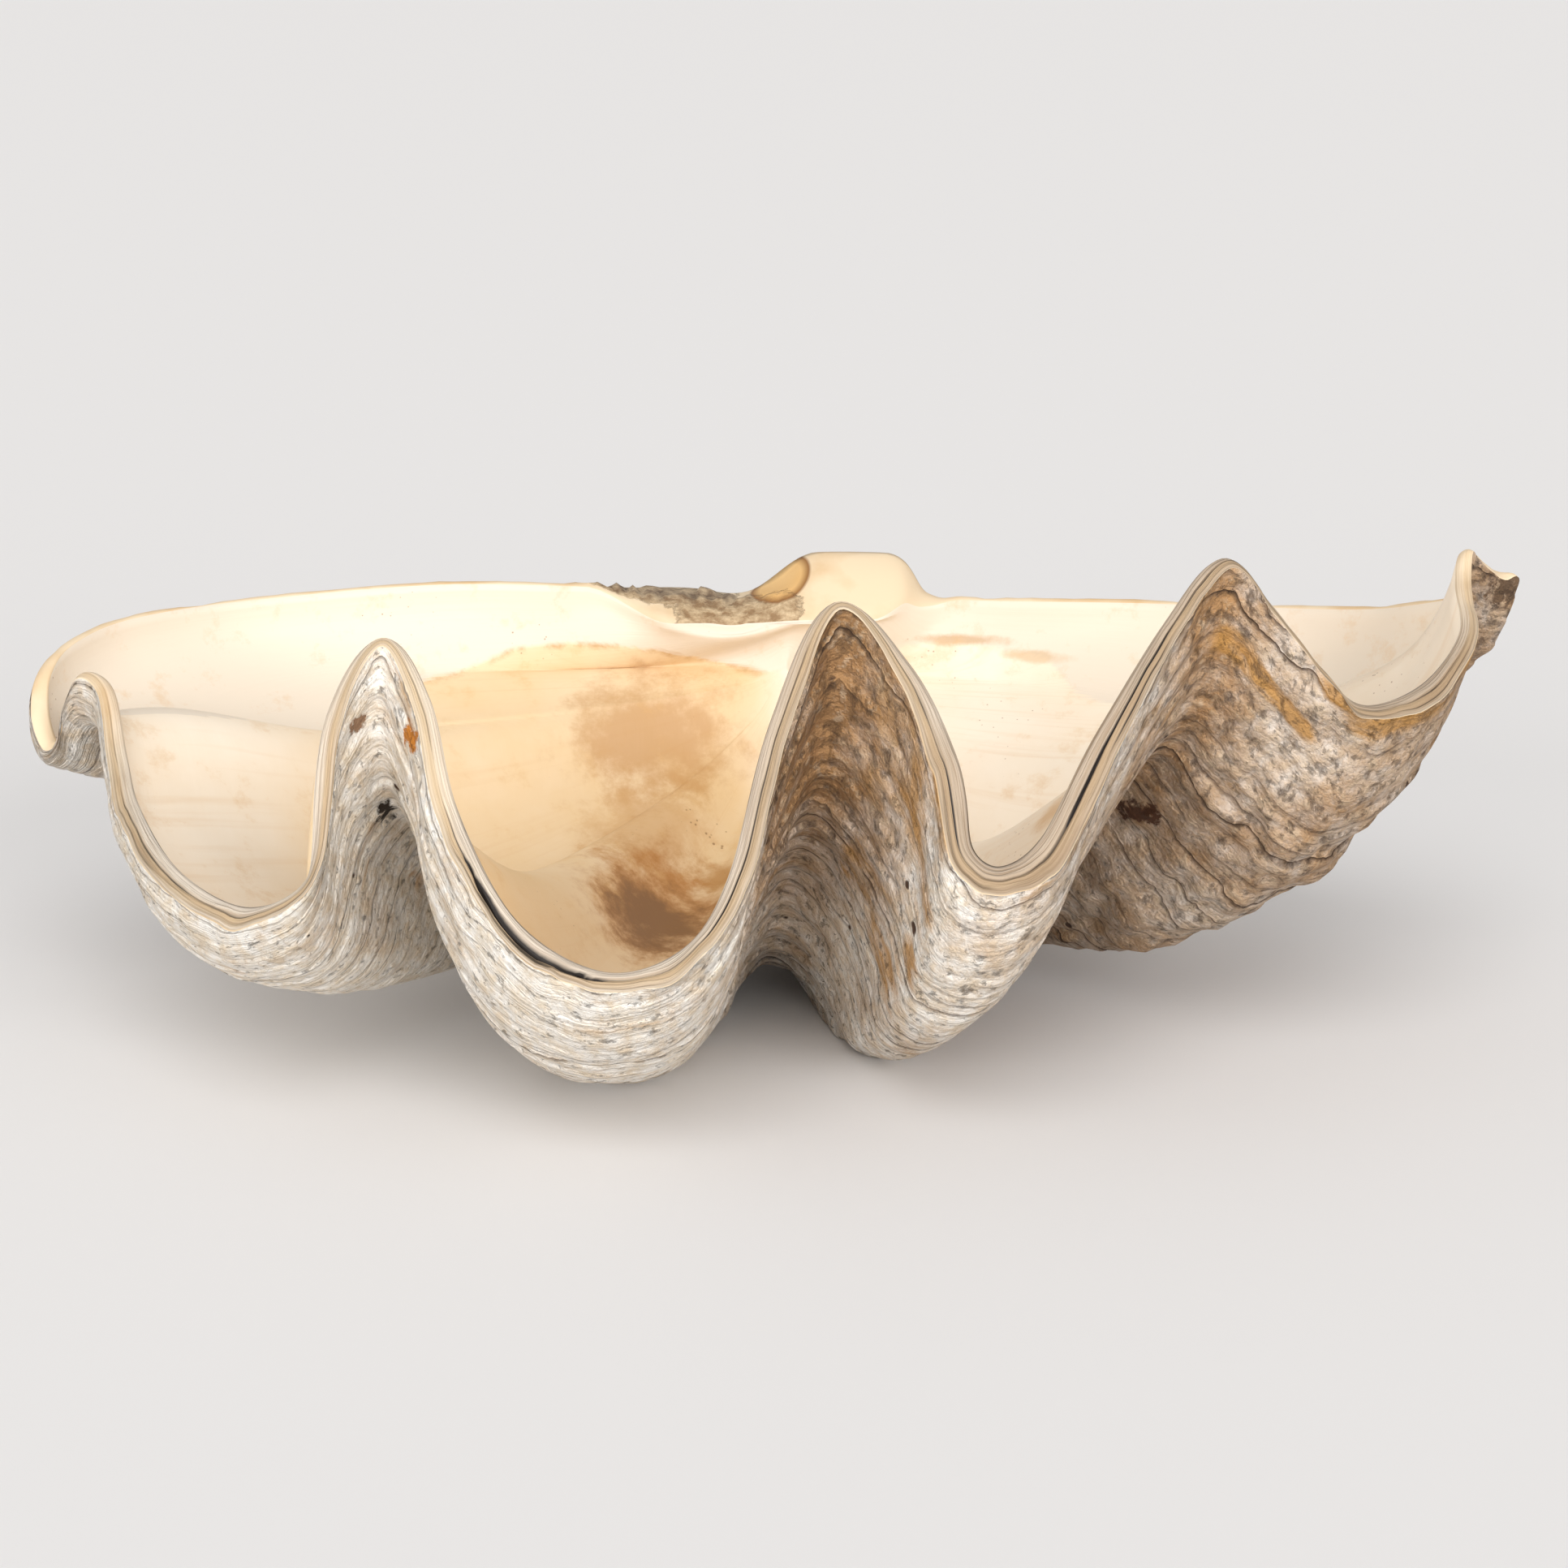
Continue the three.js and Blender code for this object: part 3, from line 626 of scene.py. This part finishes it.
# Inside of the bowl.
# Dense aragonite laid down against the body, like unglazed porcelain: white above the scar line of the
# mantle, cream and tan below it, with a brown water stain in the middle trough and scattered specks. The
# white is given a darker colour than the cream as painted shade where the most light falls, and the cream a
# lighter one as painted light in the shaded troughs.
tree = finish_of("porcelain_aragonite")
spot_3d = add(tree, "ShaderNodeTexCoord", out="Object")
grown_2d = add(tree, "ShaderNodeUVMap", uv_map="growth")
scar = add(tree, "ShaderNodeAttribute", out="Fac", attribute_name="above_scar")
tan_part = add(tree, "ShaderNodeAttribute", out="Fac", attribute_name="tan_share")
cloud = add(tree, "ShaderNodeTexNoise", {"Vector": spot_3d, "Scale": 10.0, "Detail": 5.0, "Roughness": 0.6})
mottle = add(tree, "ShaderNodeTexNoise", {"Vector": spot_3d, "Scale": 48.0, "Detail": 8.0,
                                          "Roughness": 0.68})
# Fingers 5 mm wide along the rim and 50 mm long across it.
finger_at = add(tree, "ShaderNodeVectorMath", {0: grown_2d, 1: (200, 20, 1)}, operation="MULTIPLY")
finger = add(tree, "ShaderNodeTexNoise", {"Vector": finger_at, "Scale": 1.0, "Detail": 3.0})
spot_x = add(tree, "ShaderNodeSeparateXYZ", {"Vector": spot_3d}, out="X")
finger_long = add(tree, "ShaderNodeMapRange", {"Value": spot_x, "From Min": -0.15, "From Max": -0.05,
                                               "To Min": 0.25, "To Max": 1.1})
finger_off = add(tree, "ShaderNodeMath", {0: finger, 1: 0.5}, operation="SUBTRACT")
scar_finger = add(tree, "ShaderNodeMath", {0: finger_off, 1: finger_long, 2: scar},
                  operation="MULTIPLY_ADD")
white = add(tree, "ShaderNodeMapRange", {"Value": scar_finger, "From Min": -0.2, "From Max": 0.2})
below = add(tree, "ShaderNodeMath", {0: 1.0, 1: white}, operation="SUBTRACT")
tan_cloud = add(tree, "ShaderNodeMath", {0: cloud, 1: 1.1, 2: tan_part}, operation="MULTIPLY_ADD")
tan_all = add(tree, "ShaderNodeMapRange", {"Value": tan_cloud, "From Min": 0.5, "From Max": 1.75})
tan_now = add(tree, "ShaderNodeMath", {0: tan_all, 1: below}, operation="MULTIPLY")
# Painted light and shade: the white above the scar is darker than the ground below it, to take down the
# strong light on the hinge wall and lift the shaded troughs.
pale_and_painted_light = add(tree, "ShaderNodeMix", {"Factor": white, "A": tint("F8EAD6"), "B": tint("E9DBC8")}, out=2,
           data_type="RGBA")
ground = add(tree, "ShaderNodeMix", {"Factor": tan_now, "A": pale_and_painted_light, "B": tint("E6C490")}, out=2,
             data_type="RGBA")
# Soft tan streaks down the walls, 12 mm wide and 200 mm long.
streak_at = add(tree, "ShaderNodeVectorMath", {0: grown_2d, 1: (80, 5, 1)}, operation="MULTIPLY")
streak = add(tree, "ShaderNodeTexNoise", {"Vector": streak_at, "Scale": 1.0, "Detail": 4.0})
streak_share = add(tree, "ShaderNodeMapRange", {"Value": streak, "From Min": 0.54, "From Max": 0.76,
                                                "To Max": 0.26})
streak_now = add(tree, "ShaderNodeMath", {0: streak_share, 1: below}, operation="MULTIPLY")
stained = add(tree, "ShaderNodeMix", {"Factor": streak_now, "A": ground, "B": tint("DDB37E")}, out=2,
              data_type="RGBA")
# The scar itself: a brown fuzz on the line, broken up by mottling.
scar_off = add(tree, "ShaderNodeMath", {0: scar_finger, 1: -0.15}, operation="SUBTRACT")
scar_abs = add(tree, "ShaderNodeMath", {0: scar_off}, operation="ABSOLUTE")
scar_line = add(tree, "ShaderNodeMapRange", {"Value": scar_abs, "From Min": 0.5, "From Max": 0.0})
scar_patch = add(tree, "ShaderNodeMapRange", {"Value": mottle, "From Min": 0.44, "From Max": 0.62,
                                              "To Max": 0.75})
scar_some = add(tree, "ShaderNodeMath", {0: scar_line, 1: scar_patch}, operation="MULTIPLY")
scar_share = add(tree, "ShaderNodeMath", {0: scar_some, 1: tan_part}, operation="MULTIPLY")
stained = add(tree, "ShaderNodeMix", {"Factor": scar_share, "A": stained, "B": tint("B98848")}, out=2,
              data_type="RGBA")
# Stains: centre and radii in metres, how ragged, how strong, colour.
STAINS = [
    ((-0.082, 0.195, 0.112), (0.075, 0.075, 0.055), 1.6, 0.62, "BC8546"),
    ((-0.080, 0.125, 0.075), (0.055, 0.095, 0.050), 1.8, 0.50, "C99656"),
    ((-0.076, 0.052, 0.045), (0.066, 0.086, 0.055), 1.6, 0.85, "B57526"),
    ((-0.074, 0.042, 0.042), (0.044, 0.050, 0.045), 1.8, 0.85, "7A5430"),
    ((-0.033, 0.105, 0.047), (0.018, 0.022, 0.020), 1.0, 0.80, "B8823F"),
    ((0.155, -0.097, 0.150), (0.018, 0.022, 0.020), 1.2, 0.65, "CF9C55"),
    ((0.166, -0.063, 0.162), (0.013, 0.018, 0.016), 1.2, 0.60, "CF9C55"),
    ((-0.050, 0.232, 0.146), (0.045, 0.016, 0.009), 1.2, 0.50, "BF9150"),
    ((0.122, 0.235, 0.171), (0.040, 0.020, 0.005), 1.6, 0.60, "B98A4A"),
    ((0.168, 0.224, 0.163), (0.030, 0.020, 0.005), 1.6, 0.50, "C69A58"),
]
for centre, radii, rag, strength, colour in STAINS:
    offset = add(tree, "ShaderNodeVectorMath", {0: spot_3d, 1: centre}, operation="SUBTRACT")
    scaled = add(tree, "ShaderNodeVectorMath", {0: offset, 1: radii}, operation="DIVIDE")
    reach = add(tree, "ShaderNodeVectorMath", {0: scaled}, out="Value", operation="LENGTH")
    uneven = add(tree, "ShaderNodeMath", {0: mottle, 1: rag, 2: reach}, operation="MULTIPLY_ADD")
    share = add(tree, "ShaderNodeMapRange", {"Value": uneven, "From Min": 1.0 + rag * 0.5,
                                             "From Max": 0.3 + rag * 0.5, "To Max": strength},
                interpolation_type="SMOOTHSTEP")
    stained = add(tree, "ShaderNodeMix", {"Factor": share, "A": stained, "B": tint(colour)}, out=2,
                  data_type="RGBA")
blot = add(tree, "ShaderNodeTexNoise", {"Vector": spot_3d, "Scale": 40.0, "Detail": 7.0, "Roughness": 0.7})
blot_share = add(tree, "ShaderNodeMapRange", {"Value": blot, "From Min": 0.56, "From Max": 0.74,
                                              "To Max": 0.45})
stained = add(tree, "ShaderNodeMix", {"Factor": blot_share, "A": stained, "B": tint("D9AC70")}, out=2,
              data_type="RGBA")
speck_cell = add(tree, "ShaderNodeTexVoronoi", {"Vector": spot_3d, "Scale": 190.0})
speck_mask = add(tree, "ShaderNodeTexNoise", {"Vector": spot_3d, "Scale": 13.0, "Detail": 2.0})
speck_size = add(tree, "ShaderNodeMapRange", {"Value": speck_mask, "From Min": 0.48, "From Max": 0.75,
                                              "To Max": 0.25})
speck_in = add(tree, "ShaderNodeMath", {0: speck_size, 1: speck_cell}, operation="SUBTRACT")
specks = add(tree, "ShaderNodeMapRange", {"Value": speck_in, "From Min": 0.0, "From Max": 0.12,
                                          "To Max": 0.75})
speckled = add(tree, "ShaderNodeMix", {"Factor": specks, "A": stained, "B": tint("8A5E30")}, out=2,
               data_type="RGBA")
faint_at = add(tree, "ShaderNodeVectorMath", {0: grown_2d, 1: (5, 90, 1)}, operation="MULTIPLY")
faint = add(tree, "ShaderNodeTexNoise", {"Vector": faint_at, "Scale": 1.0, "Detail": 3.0})
bump = add(tree, "ShaderNodeBump", {"Height": faint, "Strength": 0.15, "Distance": 0.002})
skin = add(tree, "ShaderNodeBsdfPrincipled", {"Base Color": speckled, "Roughness": 0.45, "IOR": 1.53,
                                              "Normal": bump})
add(tree, "ShaderNodeOutputMaterial", {"Surface": skin})

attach(valve, "root")
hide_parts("valve")

# Floor.
# A plain pale studio floor, wide enough to fill the view.
floor_mesh = bpy.data.meshes.new("floor")
floor_mesh.from_pydata([(-20, -20, 0), (20, -20, 0), (20, 20, 0), (-20, 20, 0)], [], [(0, 1, 2, 3)])
floor = bpy.data.objects.new("floor", floor_mesh)
bpy.context.scene.collection.objects.link(floor)
floor_material = bpy.data.materials.new("pale_floor")
floor_material.use_nodes = True
floor_skin = floor_material.node_tree.nodes["Principled BSDF"]
floor_skin.inputs["Base Color"].default_value = tint("EFEDEC")
floor_skin.inputs["Roughness"].default_value = 0.7
floor_mesh.materials.append(floor_material)

# Light.
# One wide soft source high in front, two low ones from the left and the right front that reach under the
# ribs, and an even pale surround.


def soft_light(name, way, strength, spread):
    """Light from far away along a direction, spread over an angle in degrees so that its shadows are soft."""
    light = bpy.data.lights.new(name, "SUN")
    light.energy = strength
    light.angle = np.radians(spread)
    holder = bpy.data.objects.new(name, light)
    holder.rotation_euler = Vector(way).to_track_quat("-Z", "Y").to_euler()
    bpy.context.scene.collection.objects.link(holder)


soft_light("key_light", (0.06, 0.6, -0.8), 0.92, 45)
soft_light("left_fill", (0.5, 0.85, -0.1), 1.8, 40)
soft_light("right_fill", (-0.5, 0.83, -0.25), 1.75, 40)
world = bpy.data.worlds.new("pale_room")
world.use_nodes = True
world.node_tree.nodes["Background"].inputs["Color"].default_value = tint("F4F3F2")
world.node_tree.nodes["Background"].inputs["Strength"].default_value = 0.56
bpy.context.scene.world = world
bpy.context.scene.view_settings.view_transform = "Standard"

# Camera.
# Placed as in the photograph: about fifteen degrees above the rim, square on to the front and two metres
# away, on a long lens of 4357 to the 1932 of the width of the picture.
TILT = np.radians(15.3)
DISTANCE = 2091
SENSOR = 36
aim = np.array([4.0, 0.0, 136.0]) - CENTRE
eye = aim - DISTANCE * np.array([0, np.cos(TILT), -np.sin(TILT)])
camera_data = bpy.data.cameras.new("camera")
camera_data.sensor_width = SENSOR
camera_data.lens = SENSOR * 4357 / 1932
camera = bpy.data.objects.new("camera", camera_data)
camera.location = (eye / 1000).tolist()
camera.rotation_euler = (np.pi / 2 - TILT, 0, 0)
bpy.context.scene.collection.objects.link(camera)
bpy.context.scene.camera = camera
